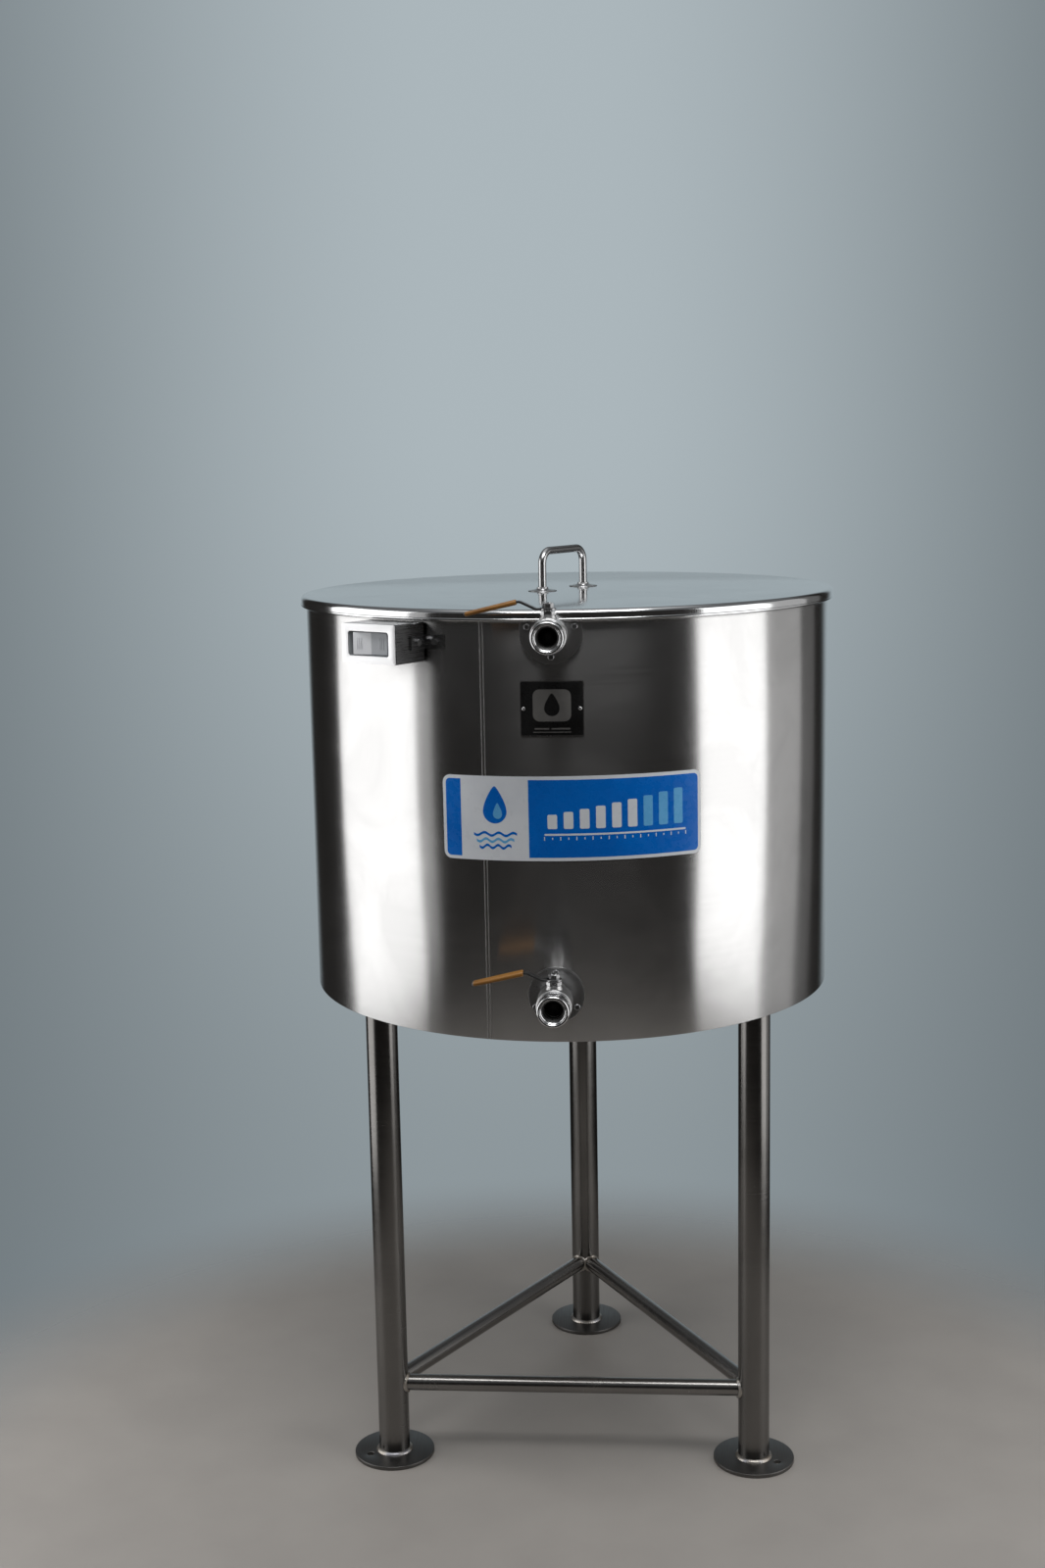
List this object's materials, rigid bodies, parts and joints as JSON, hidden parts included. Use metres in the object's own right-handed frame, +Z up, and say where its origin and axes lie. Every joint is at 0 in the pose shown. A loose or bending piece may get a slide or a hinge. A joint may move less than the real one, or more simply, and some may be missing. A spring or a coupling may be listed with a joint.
{
  "type": "bulk milk tank",
  "caption": "Upright insulated drum on a three-legged braced stand, with a lift-off lid and handle, ball valves near the rim and at the floor, and a rocker switch box.",
  "frame": {"origin": "on the floor, on the drum's vertical axis", "axes": "+Z up, -Y towards the side with both valves, +X to the right seen from that side"},
  "size_m": [0.818, 0.8971, 1.419],
  "materials": {
    "drum_steel": "brushed stainless steel",
    "vessel_steel": "polished stainless steel",
    "lid_steel": "polished stainless steel",
    "stand_steel": "brushed stainless steel",
    "weld_steel": "pickled weld bead",
    "handle_steel": "polished stainless steel",
    "valve_steel": "cast and turned stainless steel",
    "ball_steel": "polished stainless steel",
    "fastener_steel": "polished stainless steel",
    "box_steel": "brushed stainless steel",
    "cover_steel": "polished stainless steel",
    "foam": "rigid foam",
    "seal_rubber": "matt rubber",
    "lid_rubber": "white food-grade rubber",
    "seat_polymer": "white fluoropolymer",
    "grip_vinyl": "dip-moulded ochre vinyl",
    "switch_plastic": "moulded light grey",
    "rocker_plastic": "moulded pale grey",
    "nameplate_metal": "black anodised, bare edge",
    "label_film": "printed film in blue and white"
  },
  "bodies": {
    "tank": {"bottom_plate": "drum_steel", "box_brackets": "box_steel", "box_case": "box_steel", "box_cover": "cover_steel", "box_gasket": "seal_rubber", "brace_front": "stand_steel", "brace_left": "stand_steel", "brace_right": "stand_steel", "bracket_bolts": "fastener_steel", "foot_plate_back": "stand_steel", "foot_plate_left": "stand_steel", "foot_plate_right": "stand_steel", "frame_welds": "weld_steel", "inlet_pipe": "valve_steel", "inlet_plate": "valve_steel", "inlet_plate_gasket": "seal_rubber", "inlet_plate_screws": "fastener_steel", "inlet_valve_body": "valve_steel", "inlet_valve_cap": "valve_steel", "inlet_valve_gland": "valve_steel", "inlet_valve_seals": "seat_polymer", "insulation": "foam", "label": "label_film", "leg_back": "stand_steel", "leg_left": "stand_steel", "leg_pads": "stand_steel", "leg_right": "stand_steel", "nameplate": "nameplate_metal", "nameplate_rivets": "fastener_steel", "outer_shell": "drum_steel", "outlet_pipe": "valve_steel", "outlet_plate": "valve_steel", "outlet_plate_gasket": "seal_rubber", "outlet_plate_screws": "fastener_steel", "outlet_valve_body": "valve_steel", "outlet_valve_cap": "valve_steel", "outlet_valve_gland": "valve_steel", "outlet_valve_seals": "seat_polymer", "switch_body": "switch_plastic", "top_ring": "vessel_steel", "vessel_floor": "vessel_steel", "vessel_wall": "vessel_steel"},
    "lid": {"lid_cover": "lid_steel", "lid_pan": "lid_steel", "lid_foam": "foam", "lid_gasket": "lid_rubber", "lid_handle": "handle_steel", "handle_flanges": "fastener_steel", "handle_nuts": "fastener_steel"},
    "inlet_lever": {"inlet_valve_ball": "ball_steel", "inlet_valve_stem": "valve_steel", "inlet_valve_lever": "valve_steel", "inlet_valve_grip": "grip_vinyl", "inlet_lever_nut": "fastener_steel"},
    "outlet_lever": {"outlet_valve_ball": "ball_steel", "outlet_valve_stem": "valve_steel", "outlet_valve_lever": "valve_steel", "outlet_valve_grip": "grip_vinyl", "outlet_lever_nut": "fastener_steel"},
    "rocker": {"switch_rocker": "rocker_plastic"}
  },
  "joints": [
    {"name": "lid_lift", "type": "slide", "parent": "tank", "child": "lid", "axis": [0, 0, 1], "range_m": [0, 0.3]},
    {"name": "inlet_valve_turn", "type": "hinge", "parent": "tank", "child": "inlet_lever", "pos_m": [0, -0.45005, 1.322], "axis": [0, 0, 1], "range_deg": [0, 90]},
    {"name": "outlet_valve_turn", "type": "hinge", "parent": "tank", "child": "outlet_lever", "pos_m": [0, -0.45005, 0.816], "axis": [0, 0, 1], "range_deg": [0, 90]},
    {"name": "rocker_tilt", "type": "hinge", "parent": "tank", "child": "rocker", "pos_m": [-0.24377, -0.37826, 1.30775], "axis": [0, 0, 1], "range_deg": [-12, 0]}
  ]
}
